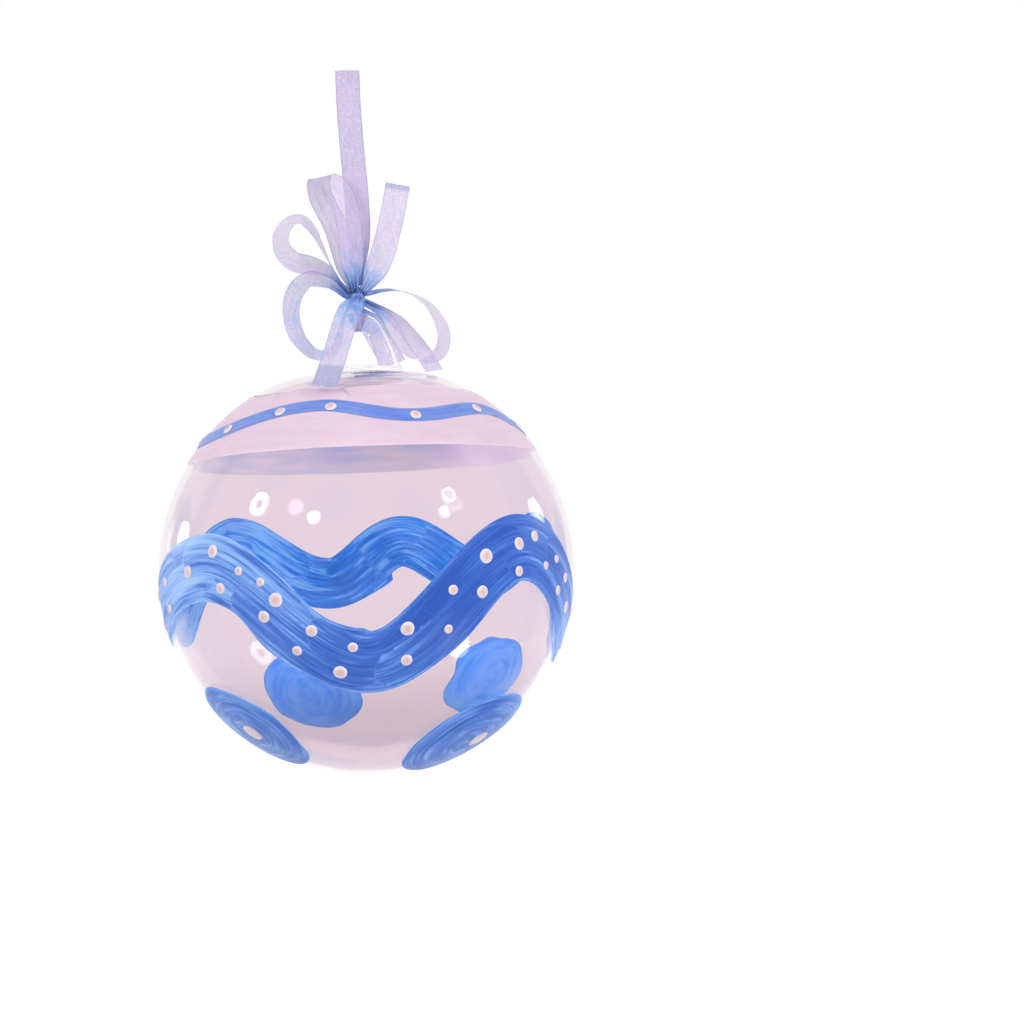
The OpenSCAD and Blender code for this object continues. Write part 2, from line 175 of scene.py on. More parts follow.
LOOP_RIGHT = [
    (7.4, 3.2, 2.2, 5), (12.4, 5.6, 1.4, 15), (16.8, 7.6, -2, 30), (18.9, 9, -6.8, 35), (18, 9.8, -10.6, 30),
    (14.8, 9.8, -12.4, 10), (11.4, 9, -11, -25), (8.6, 6.6, -7.6, -40), (6, 4.2, -3.6, -38),
]
TAIL_UP = [(4, -2.4, 5, 0), (6.2, -3, 10, 0), (7.8, -3.2, 15.4, 0), (8.9, -3.2, 19.8, 0), (9.8, -3, 24, 0)]
TAIL_LOW = [
    (-0.8, -6, -1.6, 0), (-2.5, -10.5, -6, 0), (-3.9, -14.5, -10.6, 0), (-5.5, -20, -16, 0),
    (-7.2, -27, -21.6, 0),
]
TAIL_INNER = [(2.4, 4.6, -3.8, 0), (4.4, 6.6, -7.6, 0), (6.4, 8.4, -11, 0), (7.8, 9.8, -13.2, 0)]
TAIL_OUTER = [(6.8, 7.8, -2.2, 0), (11, 11.6, -6.2, 0), (14.4, 14.6, -10.4, 0), (16.6, 16.8, -14, 0)]
STRAND = [(0, -2.2, -6, 0), (0.4, -1.7, -16, 0), (0.9, -1.2, -26, 0), (0.9, -0.8, -36, 0)]


def root(angle, height):
    """Where a ribbon meets the knot's side."""
    a, r = math.radians(angle), KNOT_R + 0.3
    return (r * math.cos(a), r * math.sin(a), height, 0)


def smooth_route(route, cuts=CUTS):
    """Points of a smooth curve through a route's points."""
    route, made = np.array(route, float), []
    padded = [route[0], *route, route[-1]]
    for a, b, c, d in zip(padded, padded[1:], padded[2:], padded[3:]):
        bend, twist = 2 * a - 5 * b + 4 * c - d, 3 * b - a - 3 * c + d
        for k in range(cuts):
            t = k / cuts
            made.append((2 * b + (c - a) * t + bend * t * t + twist * t**3) / 2)
    return np.array([*made, route[-1]])


def unit(v):
    return v / np.maximum(np.linalg.norm(v, axis=-1, keepdims=True), 1e-9)


def run_of(places):
    """How far along its places a line has come at each of them."""
    return np.concatenate([[0], np.cumsum(np.linalg.norm(np.diff(places, axis=0), axis=1))])


def laid(route, side, gathered):
    """Centre points, width directions, and how far each point is spread, from 0 gathered to 1 flat."""
    path = smooth_route(route)
    places, turns = path[:, :3], np.radians(path[:, 3:])
    along = unit(np.gradient(places, axis=0))
    side = np.array(side, float)
    flat = unit(side - (along @ side)[:, None] * along)
    across = flat * np.cos(turns) + np.cross(along, flat) * np.sin(turns)
    step = np.arange(len(path)) / CUTS
    ends = [step if gathered[0] else step * 0 + 9, step[::-1] if gathered[1] else step * 0 + 9]
    share = np.clip(np.minimum(*ends) / GATHER_SPANS, 0, 1)
    return places, across, share * share * (3 - 2 * share)


def joined(parts):
    """Laid parts one after another. The way through the knot between two of them is eased."""
    places, across, spread = (list(x) for x in parts[0])
    for more, more_across, more_spread in parts[1:]:
        a, b = places[-1], more[0]
        more_across = -more_across
        turned = math.copysign(1, across[-1] @ more_across[0]) * more_across[0]
        for k in range(1, 8):
            t = k / 8
            pull = math.sin(math.pi * t) * 0.4
            places.append((a * (1 - t) + b * t) * (1 - pull))
            across.append(across[-1] * (1 - t) + turned * t)
            spread.append(0.0)
        places += list(more)
        across += list(more_across)
        spread += list(more_spread)
    return np.array(places), unit(np.array(across)), np.array(spread)


def ribbon(name, laid_parts, offset, seed, pleats=3.5, pleat_h=0.42, hems=(0, 0)):
    """A sheer ribbon, its path and its length: pleated where it is gathered, a little curled elsewhere."""
    places, across, spread = laid_parts
    along = unit(np.gradient(places, axis=0))
    across = unit(across - (across * along).sum(1)[:, None] * along)
    out = np.cross(along, across)
    length = run_of(places)
    width = GATHERED_W + (RIBBON_W - GATHERED_W) * spread
    points, uvs, doubled = [], [], []
    for i, s in enumerate(length):
        tight = 1 - spread[i]
        sides = zip((s, length[-1] - s), hems)
        doubled.append(max(min(1, max(0, reach - past) * 2) for past, reach in sides))
        drift = 0.6 * rough((s, 0, seed * 9), 7, seed)
        for t in np.linspace(-1, 1, ACROSS + 1):
            fold = pleat_h * tight**0.8 * math.cos(math.pi * (pleats * t + drift))
            ripple = 0.16 * rough((s, t * 2.4, 0), 3.4, seed + 0.4) * (0.35 + 0.65 * spread[i])
            curl = 0.10 * (t * t - 0.3) * spread[i] * (1 + rough((s, 0, 0), 9, seed + 2))
            edge = 0.05 * rough((s, t, 0), 1.6, seed + 5) * abs(t)
            points.append(places[i] + across[i] * (width[i] / 2 * t + edge) + out[i] * (fold + ripple + curl))
            uvs.append((s * 0.001, t * RIBBON_W * 0.0005))
    points = np.array(points) + offset
    near = np.exp(-(np.linalg.norm((points - KNOT + (0, 3, 1)) * (1, 0.5, 1), axis=1) / 7) ** 2)
    # The loops at the knot's left lie in layers, which look bluer
    layered = np.exp(-(np.linalg.norm((points - KNOT + (9, 0, 7)) * (1, 0.4, 1), axis=1) / 10) ** 2)
    near = np.maximum(near, 0.36 * layered)
    made = make_object(
        name, points, grid_faces(len(places), ACROSS + 1, False), None, uvs,
        {"spread": np.repeat(spread, ACROSS + 1), "near": near, "hem": np.repeat(doubled, ACROSS + 1)}, False,
    )
    return made, (places + offset) * 0.001, length[-1] * 0.001


KNOT = np.array([0, 0, KNOT_Z])
X_SIDE, Y_SIDE = (1, 0, 0), (0, 1, 0)


def flipped(part):
    return tuple(x[::-1] for x in part)


first_bow = joined([
    flipped(laid([root(-45, 1.6), *TAIL_UP], X_SIDE, (True, False))),
    laid([root(5, 1.2), *LOOP_RIGHT, root(35, -1)], Y_SIDE, (True, True)),
    laid([root(-165, 0.3), *LOOP_LOW, root(-135, -1.2)], Y_SIDE, (True, True)),
    laid([root(-75, -0.2), *TAIL_LOW], X_SIDE, (True, False)),
])
second_bow = joined([
    flipped(laid([root(80, -1.8), *TAIL_INNER], X_SIDE, (True, False))),
    laid([root(-100, 2), *LOOP_UP, root(105, 2)], X_SIDE, (True, True)),
    laid([root(-150, 1.6), *LOOP_LEFT, root(165, 0.8)], Y_SIDE, (True, True)),
    laid([root(70, 0.4), *TAIL_OUTER], (1, -1, 0), (True, False)),
])

# The hanging ribbon: up in front, over the hook and down behind
TURN_Y = HOOK_R + RIBBON_T / 2
front_route = [(0, -TURN_Y, 0, 0), (0, -TURN_Y, -2, 0), *STRAND, (0.3, -0.3, KNOT_Z + KNOT_H / 2 + 0.3, 0)]
back_route = [(x, -y, z, turn) for x, y, z, turn in front_route]
over = [
    (0, -TURN_Y * math.cos(math.pi * k / 24), TURN_Y * math.sin(math.pi * k / 24)) for k in range(1, 24)
]
front_laid = flipped(laid(front_route, X_SIDE, (False, True)))
back_laid = laid(back_route, X_SIDE, (False, True))
hanging = tuple(
    np.concatenate([a, np.array(m), b])
    for a, m, b in zip(front_laid, (over, [X_SIDE] * len(over), [1.0] * len(over)), back_laid)
)

bow_ribbon_1, *bow_run_1 = ribbon("bow_ribbon_1", first_bow, KNOT, 1, hems=(1.4, 8.5))
bow_ribbon_2, *bow_run_2 = ribbon("bow_ribbon_2", second_bow, KNOT, 2)
hanging_ribbon, *hanging_run = ribbon("hanging_ribbon", hanging, np.zeros(3), 3, 2.5, 0.3)


# ---- knot and wrap
def make_knot():
    """Turns of gathered ribbon wound round the middle of the bow as one rising winding."""
    rows, columns = 96, 61
    points = []
    for i in range(rows):
        a = 2 * math.pi * i / rows
        for j in range(columns):
            v = j / (columns - 1)
            z = KNOT_H * (v - 0.5)
            turn = v * KNOT_TURNS + i / rows
            bulge = abs(math.sin(math.pi * turn)) ** 0.6
            end = min(1, 3.2 * min(v, 1 - v)) ** 0.5
            crease = 0.10 * rough((2.2 * math.cos(a), 2.2 * math.sin(a), 3.2 * z), 1.5, 4)
            fine = 0.05 * math.sin(2 * math.pi * (4.5 * turn + 0.2 * math.sin(3 * a)))
            r = (KNOT_R - 0.42 + (0.42 + crease + fine) * bulge) * (0.25 + 0.75 * end)
            points.append((r * math.cos(a), r * math.sin(a), KNOT_Z + z))
    faces = grid_faces(rows, columns, True)
    faces += [[i * columns + end for i in range(rows)] for end in (0, columns - 1)]
    uvs = [(i / rows * 0.011, j / columns * 0.0054) for i in range(rows) for j in range(columns)]
    return make_object("knot", points, faces, 40, uvs, {"spread": [0.0] * len(points)})


def make_wrap():
    """The gathered ribbon that runs under the eye's bend, open at the top where it enters the knot."""
    rows, columns, thick = 25, 65, 0.14
    layers = []
    for outer in (1, 0):
        for i in range(rows):
            a = math.radians(90 - WRAP_HALF + 2 * WRAP_HALF * i / (rows - 1))
            for j in range(columns):
                b = math.radians(42 + 276 * j / (columns - 1))
                pleat = 0.07 * math.cos(6 * math.pi * i / (rows - 1) + 0.8 * math.sin(b))
                r = ROD_R + 0.42 + pleat + thick * outer + 0.04 * rough((3 * a, 3 * b, 0), 0.8, 6)
                reach = EYE_BEND + r * math.cos(b)
                layers.append((reach * math.cos(a), r * math.sin(b), EYE_BEND_Z + reach * math.sin(a)))
    count = rows * columns
    faces = grid_faces(rows, columns, False) + grid_faces(rows, columns, False, count)
    rim = (
        [i * columns for i in range(rows)] + [(rows - 1) * columns + j for j in range(1, columns)]
        + [i * columns + columns - 1 for i in range(rows - 2, -1, -1)] + list(range(columns - 2, 0, -1))
    )
    for a, b in zip(rim, rim[1:] + rim[:1]):
        faces.append((b, a, a + count, b + count))
    uvs = [(j * 0.0002, i * 0.0002) for _ in (0, 1) for i in range(rows) for j in range(columns)]
    return make_object("wrap", layers, faces, 50, uvs, {"spread": [0.45] * len(layers)})


knot = make_knot()
wrap = make_wrap()


# ---- the blown ball
def ball_profile(inset):
    """The ball's outline from top to foot: a sphere cut by the crown's dome, with an eased shoulder."""
    r, dome, drop, soft = BALL_R - inset, DOME_R - inset, BALL_Z - DOME_Z, 0.35
    a = np.linspace(0, math.pi, 150)
    to_dome = np.sqrt(np.maximum(dome**2 - (drop * np.sin(a)) ** 2, 0)) - drop * np.cos(a)
    reach = -soft * np.logaddexp(-r / soft, -to_dome / soft)
    return np.stack([reach * np.sin(a), reach * np.cos(a)], axis=1)


def make_ball():
    """The hollow ball, outside and inside."""
    points, faces, rows = [], [], 256
    for inset, flip in ((0, False), (WALL, True)):
        start = len(points)
        (_, top), *middle, (_, foot) = ball_profile(inset)
        for i in range(rows):
            a = 2 * math.pi * i / rows
            points += [(x * math.cos(a), x * math.sin(a), BALL_Z + z) for x, z in middle]
        columns, pole = len(middle), len(points)
        faces += grid_faces(rows, columns, True, start, not flip)
        points += [(0, 0, BALL_Z + top), (0, 0, BALL_Z + foot)]
        for i in range(rows):
            a, b = start + i * columns, start + (i + 1) % rows * columns
            first, last = (pole, a, b), (pole + 1, b + columns - 1, a + columns - 1)
            faces += [first[::-1], last[::-1]] if flip else [first, last]
    return make_object("ball", points, faces, None, closed=False)


ball = make_ball()


# ---- paint
# How far each way an edge's own direction is read, in points; how near two passes of it lie, as a share of
# the ball's radius; the fewest points between them; and how many more are spread out on each side
LONG_WAY, CROSSING, LOOP_LEAST, LOOP_MORE = 40, 0.006, 3, 8
# A coat's lift at its edge, and how far in from there its edge is rounded
COAT_LIFT, COAT_ROUND = 0.03, 0.5
# The cap's breadth along the glass, and its bluer patches: azimuth, and strength
CAP_BREADTH = 16
CAP_PATCHES = [(145, 0.4), (190, 0.85)]
# Where the wave's edges stand off its line: azimuth, reach before and after it, upper edge, lower edge
WAVE_NUDGES = [
    (356, 7, 7, 1.0, 0), (341, 6, 6, -0.9, 0), (327, 6, 6, 0, 0.9), (338, 5, 5, 0, -0.9), (19, 8, 8, 0, -0.8),
    (178.6, 0.7, 6, 0, -1.5),
]
# How light the wave's paint is: azimuth, and tone
WAVE_TONES = [
    (2, 0), (22, -1.5), (34, -1), (56, -0.7), (75, 0.2), (120, 0), (150, -0.2), (192, -0.2),
    (212, 1.3), (240, 1.2), (262, 1.2), (285, 0.3), (306, 0.9), (326, 0.7), (338, 0.5), (350, -0.3),
]
SPOT_TONES = [0.3, 0, 0.8, 0.8]
# The spots' outlines: angle, and share of the usual radius
LOBES = [
    [(-60, 1), (-18, 0.94), (22, 0.945), (62, 0.92), (116, 1), (200, 1)],
    [(0, 1)],
    [(-34, 1.08), (-1, 0.96), (26, 1.08), (57, 0.98), (90, 0.85), (151, 0.91), (188, 0.98), (240, 0.95),
     (294, 0.95)],
    [(-34, 0.92), (-10, 0.88), (14, 0.96), (66, 0.97), (120, 1), (183, 1.08), (212, 1.07), (238, 0.98),
     (279, 0.87), (312, 0.87)],
]


def eased(stops, angle):
    """What goes with an angle in degrees, eased between stops round a circle, as in the CAD source."""
    for i, (start, *before) in enumerate(stops):
        end, *after = stops[(i + 1) % len(stops)]
        gap = (end - start) % 360 or 360
        past = (angle - start) % 360
        if past <= gap:
            share = (1 - math.cos(math.pi * past / gap)) / 2
            return [a + (b - a) * share for a, b in zip(before, after)]
    raise ValueError(angle)


def toward(azimuth, height):
    up, a = height / BALL_R, math.radians(azimuth)
    out = math.sqrt(1 - up * up)
    return np.array([out * math.sin(a), -out * math.cos(a), up])


def beside_line(line, azimuth, beside):
    here = toward(azimuth, eased(line, azimuth)[0])
    onward = toward(azimuth + 0.5, eased(line, azimuth + 0.5)[0]) - here
    above = unit(np.cross(here, onward))
    angle = beside / BALL_R
    return here * math.cos(angle) + above * math.sin(angle)


def coat_faces(rows, columns, start, polar):
    """Faces of a closed coat, as two layers of a grid. A polar grid starts at its middle."""
    count = rows * columns
    faces = grid_faces(rows, columns, True, start) + grid_faces(rows, columns, True, start + count, True)
    for edge in ((columns - 1,) if polar else (0, columns - 1)):
        for i in range(rows):
            a, b = start + i * columns + edge, start + (i + 1) % rows * columns + edge
            faces.append((a, b, b + count, a + count) if edge else (b, a, a + count, b + count))
    if polar:
        faces += [[first + i * columns for i in range(rows)] for first in (start, start + count)]
    return faces


def painted(name, grid, radius, polar=False):
    """A closed thin coat over a grid of places, each a direction, lift, stroke and distance to the edge."""
    rows, columns = len(grid), len(grid[0])
    places = zip(*(place for row in grid for place in row))
    directions, lifts, strokes, edges = (np.array(values, float) for values in places)
    points = np.concatenate([directions * (radius + lifts[:, None]), directions * radius]) + (0, 0, BALL_Z)
    return make_object(name, points, coat_faces(rows, columns, 0, polar), 60, attributes={
        "stroke": np.tile(strokes[:, :3], (2, 1)), "tone": np.tile(strokes[:, 3], 2),
        "edge": np.tile(edges, 2), "under": np.repeat([0.0, 1.0], rows * columns),
    })


def coat_lift(inside, swell, streak):
    """How far a coat stands up: rounded at its edge, and streaked by the brush."""
    soft = min(1, inside / COAT_ROUND)
    return COAT_LIFT + swell * math.sqrt(soft) + streak * soft


def brushed(along, across, brush, strokes):
    """A place in the brush stroke that lies on top there: along it, across it, its number and its tone."""
    for k in range(len(strokes) - 1, -1, -1):
        start, reach, shift, tone = strokes[k]
        past = along - start
        taper = 0.5 * brush * min(1, max(0, past) / 3, max(0, reach - past) / 9) ** 0.5
        if 0 < past < reach and abs(across - shift) < taper:
            return past, across - shift, k, tone
    return along, across, -1, 0.0


def brush_strokes(whole, width, seed):
    """Overlapping strokes along a band: where each starts, its reach, its place across, and its tone."""
    count, made = round(whole / 15), []
    for k in range(-2, count + 1):
        start, reach, shift, tone = (rough((k, part, 0), 1.7, seed) for part in (0, 3, 5, 9))
        shift = (0.22 if k % 2 else -0.2) * width + 0.5 * shift
        made.append((whole * k / count + 4 * start, 27 + 9 * reach, shift, 0.7 * tone))
    return made


def unfolded(edge):
    """A band's edge without the loops it makes inside tight bends, its points there spread out again."""
    edge, count = np.array(edge), len(edge)
    onward = np.roll(edge, -1, 0) - edge
    long_way = np.roll(edge, -1 - LONG_WAY, 0) - np.roll(edge, LONG_WAY, 0)
    backwards = list(np.flatnonzero((onward * long_way).sum(1) < 0))
    while backwards:
        near = [(backwards[0] + k) % count for k in range(-2 * LONG_WAY, 2 * LONG_WAY)]
        backwards = [i for i in backwards if i not in near]
        # The two passes over the same place that lie furthest apart along the edge
        spare, first = max(
            ((b - a) % count, a) for k, a in enumerate(near) for b in near[k + LOOP_LEAST:]
            if np.linalg.norm(edge[a] - edge[b]) < CROSSING
        )
        reach = spare + LOOP_MORE
        targets = (first - reach + np.arange(spare + 2 * reach + 1)) % count
        kept = np.delete(edge[targets], slice(reach + 1, reach + spare), axis=0)
        along = run_of(kept)
        shares = np.linspace(0, along[-1], len(targets))
        edge[targets] = unit(np.stack([np.interp(shares, along, kept[:, axis]) for axis in range(3)], axis=1))
    return edge


def band(name, line, usual_width, radius, rows, columns, seed, wobble=0.25, nudges=(), tones=((0, 0),)):
    """A hand-painted band along a line: its edges wander a little and its strokes stand a little proud."""
    reaches, low_edge, high_edge, grid = [], [], [], []
    for i in range(rows):
        azimuth = 180 + 360 * i / rows
        a = math.radians(azimuth)
        ring = (20 * math.cos(a), 20 * math.sin(a), 0)
        width = usual_width * eased(line, azimuth)[1]
        low = -width / 2 + wobble * rough(ring, 5, seed)
        high = width / 2 + wobble * rough(ring, 6, seed + 1)
        for where, before, after, raised_high, raised_low in nudges:
            past = (azimuth - where + 180) % 360 - 180
            swell = math.exp(-(past / (after if past > 0 else before)) ** 2)
            high += raised_high * swell
            low += raised_low * swell
        reaches.append((low, high, width, eased(tones, azimuth)[0]))
        low_edge.append(beside_line(line, azimuth, low))
        high_edge.append(beside_line(line, azimuth, high))
    whole = 2 * math.pi * BALL_R * 1.1
    laid_on = brush_strokes(whole, usual_width, seed)
    for i, (lower, upper) in enumerate(zip(unfolded(low_edge), unfolded(high_edge))):
        low, high, width, light = reaches[i]
        wide = math.acos(min(1, lower @ upper))
        row = []
        for j in range(columns):
            v = j / (columns - 1)
            direction = (lower * math.sin(wide * (1 - v)) + upper * math.sin(wide * v)) / math.sin(wide)
            across = low + (high - low) * v
            inside = min(v, 1 - v) * width
            past, aside, k, tone = brushed(whole * i / rows, across, 0.62 * width, laid_on)
            streak = rough((whole * i / rows * 0.07, across * 1.9, 0), 1, seed + 2)
            stroke = (past * 0.05 + 3.7 * k, aside, across, tone + light)
            row.append((direction, coat_lift(inside, 0.12, 0.04 * streak), stroke, inside))
        grid.append(row)
    return painted(name, grid, radius)


def frame_at(direction):
    """Two directions along the surface at a direction from the ball's middle: sideways and upward."""
    sideways = unit(np.cross([0, 0, 1.0], direction))
    return sideways, np.cross(direction, sideways)


def disc(name, azimuth, height, diameter, radius, seed, rings, rows, wobble, lobes=((0, 1),), tone=0):
    """A round painted spot, laid on with a brush turned round its middle."""
    middle = toward(azimuth, height)
    sideways, upward = frame_at(middle)
    grid = []
    for i in range(rows):
        degrees = 360 * i / rows
        x, y = math.cos(math.radians(degrees)), math.sin(math.radians(degrees))
        share = eased(lobes, degrees)[0] + wobble * rough((3 * x, 3 * y, 0), 1.3, seed)
        reach = diameter / 2 * share
        row = []
        for j in range(rings):
            v = (j + 0.02) / (rings - 1 + 0.02)
            angle = math.asin(min(1, v * reach / BALL_R))
            direction = middle * math.cos(angle) + (sideways * x + upward * y) * math.sin(angle)
            inside = (1 - v) * reach
            ring = v * reach + 0.5 * rough((1.5 * x, 1.5 * y, v), 1, seed + 6)
            streak = rough((ring * 1.5, 1.5 * x, 1.5 * y), 1, seed + 2)
            stroke = (0.8 * x, ring, 0.8 * y, tone + 0.8 * rough((2 * x, 2 * y, ring * 0.35), 1, seed + 3))
            row.append((direction, coat_lift(inside, 0.12, 0.03 * streak), stroke, inside))
        grid.append(row)
    return painted(name, grid, radius, polar=True)


def even_dots(first, last, count, beside):
    return [(first + (last - first) * i / (count - 1), beside, 1) for i in range(count)]


def dots(name, line, places, radius, seed):
    """Rounded drops of paint set beside a line."""
    points, faces, outward = [], [], []
    rings, rows = 7, 22
    for k, (azimuth, beside, share) in enumerate(places):
        middle = beside_line(line, azimuth, beside)
        sideways, upward = frame_at(middle)
        faces += coat_faces(rows, rings, len(points), True)
        for top in (1, 0):
            for i in range(rows):
                x, y = math.cos(2 * math.pi * i / rows), math.sin(2 * math.pi * i / rows)
                reach = DOT_D / 2 * share * (1 + 0.07 * rough((1.2 * x, 1.2 * y, k), 1, seed))
                for j in range(rings):
                    v = (j + 0.05) / (rings - 1 + 0.05)
                    angle = v * reach / BALL_R
                    direction = middle * math.cos(angle) + (sideways * x + upward * y) * math.sin(angle)
                    lift = 0.05 + 0.3 * math.sqrt(max(0, 1 - v * v)) * (1 - 0.25 * math.exp(-v * v * 8))
                    points.append(direction * (radius + lift * top) + (0, 0, BALL_Z))
                    outward.append(v)
    return make_object(name, points, faces, 60, attributes={"outward": outward})


def make_cap():
    """The white cap: its lower edge is nearly level, its upper edge wanders on the shoulder."""
    rows, columns, grid = 360, 40, []
    for i in range(rows):
        azimuth = 360 * i / rows
        x, y = math.cos(math.radians(azimuth)), math.sin(math.radians(azimuth))
        ring = (20 * x, 20 * y, 0)
        low = CAP_LOW + 0.25 * rough(ring, 9, 3)
        high = CAP_HIGH - 0.4 + 0.7 * rough(ring, 7, 5)
        patch = sum(share * math.exp(-((azimuth - where) / 9) ** 2) for where, share in CAP_PATCHES)
        row = []
        for j in range(columns):
            v = j / (columns - 1)
            height = low + (high - low) * v
            inside = min(v, 1 - v) * CAP_BREADTH
            streak = rough((20 * x, 20 * y, height * 4), 4, 8)
            stroke = (x, y, height, patch * min(1, max(0, (height - 24.6) / 1.5)))
            row.append((toward(azimuth, height), coat_lift(inside, 0.11, 0.02 * streak), stroke, inside))
        grid.append(row)
    return painted("cap", grid, COAT_1)


cap = make_cap()
stripe = band("stripe", STRIPE_LINE, 3.8, COAT_2, 480, 10, 11, 0.12)
wave = band("wave", WAVE_LINE, 12.2, COAT_1, 900, 46, 21, nudges=WAVE_NUDGES, tones=WAVE_TONES)
spots = [
    disc(f"spot_{k + 1}_paint", *SPOTS[k], COAT_1, 31 + k, 40, 120, 0.03, LOBES[k], SPOT_TONES[k])
    for k in range(4)
]
centres = [disc(f"spot_{k + 1}_middle", *SPOT_MIDDLES[k], 4.6, COAT_2, 41 + k, 12, 36, 0.1) for k in range(4)]
drops = [
    dots("stripe_dots", STRIPE_LINE, STRIPE_FRONT + even_dots(76, 281, 10, 0), COAT_3, 51),
    dots("upper_dots", WAVE_LINE, UPPER_FRONT + even_dots(78, 279, 15, 3.1), COAT_2, 52),
    dots("lower_dots", WAVE_LINE, LOWER_FRONT + even_dots(84, 278, 15, -3.1), COAT_2, 53),
]


# ---- small things placed on a surface in view
def in_view(carrier, spots):
    """Places and outward directions on a finished piece, in millimetres, where image points show."""
    mesh = carrier.data
    tree = BVHTree.FromPolygons([v.co for v in mesh.vertices], [tuple(p.vertices) for p in mesh.polygons])
    side, start = max(W, H), Vector(CAMERA_PLACE)
    found = []
    for x, y in spots:
        way = Vector((
            x - W / 2 + camera_data.shift_x * side, H / 2 - y + camera_data.shift_y * side,
            -side * camera_data.lens / camera_data.sensor_width,
        ))
        way = (camera.matrix_world.to_3x3() @ way).normalized()
        place, normal = tree.ray_cast(start, way)[:2]
        if place is None:
            # A miss takes the place nearest the ray
            place = start + way * 0.4
            for _ in range(8):
                place, normal = tree.find_nearest(start + way * (place - start).dot(way))[:2]
        found.append((np.array(place) * 1000, np.array(normal)))
    return found


def ridges(name, carrier, courses, width, height):
    """Fine raised ridges in a coat, each along a course of image points, tapered to its ends."""
    points, faces = [], []
    for course in courses:
        found = in_view(carrier, smooth_route(course, 10))
        way = unit(np.gradient(np.array([place for place, _ in found]), axis=0))
        start = len(points)
        for i, (place, normal) in enumerate(found):
            aside = unit(np.cross(normal, way[i]))
            share = max(0.08, math.sin(math.pi * i / (len(found) - 1)) ** 0.6)
            for across, up in ((-0.5, -0.05), (-0.25, 0.6), (0, 1), (0.25, 0.6), (0.5, -0.05)):
                points.append(place + aside * across * width * share + normal * up * height * share)
        faces += grid_faces(len(found), 5, False, start)
        faces += [[start + 5 * i + k for k in (4, 0, 5, 9)] for i in range(len(found) - 1)]
        faces += [[start + 5 * i + k for k in range(5)] for i in (0, len(found) - 1)]
    return make_object(name, points, faces, 60)


cap_ridges = ridges("cap_ridges", cap, [
    [(252, 397.5), (266, 393.5), (281, 390.5)], [(280, 391), (278, 395.5), (274, 400.5)],
    [(340.5, 384.5), (345, 390.5), (351, 396.5)],
], 0.7, 0.09)


# ---- materials
def linear(r, g, b):
    """A colour from 0 to 255 as the display shows it, as linear numbers."""
    return tuple((c / 255 / 12.92 if c <= 10 else ((c / 255 + 0.055) / 1.055) ** 2.4) for c in (r, g, b))


class Nodes:
    """The nodes of a material, the world or a lamp, with short calls to add to them."""

    def __init__(self, owner):
        owner.use_nodes = True
        self.owner, self.tree = owner, owner.node_tree
        self.shader = self.tree.nodes.get("Principled BSDF")

    def add(self, kind, *inputs, **values):
        """A new node, its first inputs set or linked in their order."""
        node = self.tree.nodes.new(kind)
        for key, value in values.items():
            setattr(node, key, value)
        for target, value in zip(node.inputs, inputs):
            self.put(target, value)
        return node

    def put(self, target, value):
        if isinstance(value, (int, float)):
            target.default_value = value
        elif isinstance(value, tuple):
            target.default_value = value + (1,) * (len(target.default_value) - len(value))
        else:
            self.tree.links.new(value, target)

    def set(self, **values):
        for key, value in values.items():
            self.put(self.shader.inputs[key.replace("_", " ")], value)

    def surface(self, shader):
        """Ends the material with a shader."""
        self.put(self.tree.nodes["Material Output"].inputs["Surface"], shader.outputs[0])
        return self.owner

    def math(self, operation, a, b=0, clamp=False):
        return self.add("ShaderNodeMath", a, b, operation=operation, use_clamp=clamp).outputs[0]

    def plus(self, a, b, clamp=False):
        return self.math("ADD", a, b, clamp)

    def times(self, a, b):
        return self.math("MULTIPLY", a, b)

    def mix(self, factor, a, b):
        node = self.add("ShaderNodeMix", data_type="RGBA")
        for key, value in (("Factor", factor), ("A", a), ("B", b)):
            self.put(node.inputs[key], value)
        return node.outputs["Result"]

    def ramp(self, value, stops):
        node = self.add("ShaderNodeValToRGB", value)
        while len(node.color_ramp.elements) < len(stops):
            node.color_ramp.elements.new(0.5)
        for element, (place, colour) in zip(node.color_ramp.elements, stops):
            element.position = place
            element.color = (*colour, 1) if isinstance(colour, tuple) else (colour, colour, colour, 1)
        return node.outputs["Color"]

    def carried(self, name, output="Fac"):
        """What the mesh's points carry under a name."""
        return self.add("ShaderNodeAttribute", attribute_name=name).outputs[output]

    def part(self, vector, axis):
        return self.add("ShaderNodeSeparateXYZ", vector).outputs[axis]

    def noise(self, vector, scale, detail=3, rough=0.5, warp=0):
        node = self.add("ShaderNodeTexNoise", vector)
        for key, value in (("Scale", scale), ("Detail", detail), ("Roughness", rough), ("Distortion", warp)):
            node.inputs[key].default_value = value
        return node.outputs["Fac"]

    def stretched(self, vector, x, y, z):
        node = self.add("ShaderNodeMapping", vector)
        node.inputs["Scale"].default_value = (x, y, z)
        return node.outputs["Vector"]

    def place(self):
        return self.add("ShaderNodeTexCoord").outputs["Object"]

    def bump(self, height, distance):
        node = self.add("ShaderNodeBump")
        self.put(node.inputs["Distance"], distance)
        self.put(node.inputs["Height"], height)
        self.set(Normal=node.outputs["Normal"])

    def roughen(self, least, pattern):
        self.set(Roughness=self.plus(least, self.times(pattern, 0.2)))

    def seen(self):
        """1 for what is seen, straight, mirrored or through glass, and 0 for light that falls."""
        path = self.add("ShaderNodeLightPath").outputs
        seen = self.math("MAXIMUM", path["Is Camera Ray"], path["Is Glossy Ray"])
        return self.math("MAXIMUM", seen, path["Is Transmission Ray"])


def new_material(name):
    return Nodes(bpy.data.materials.new(name))


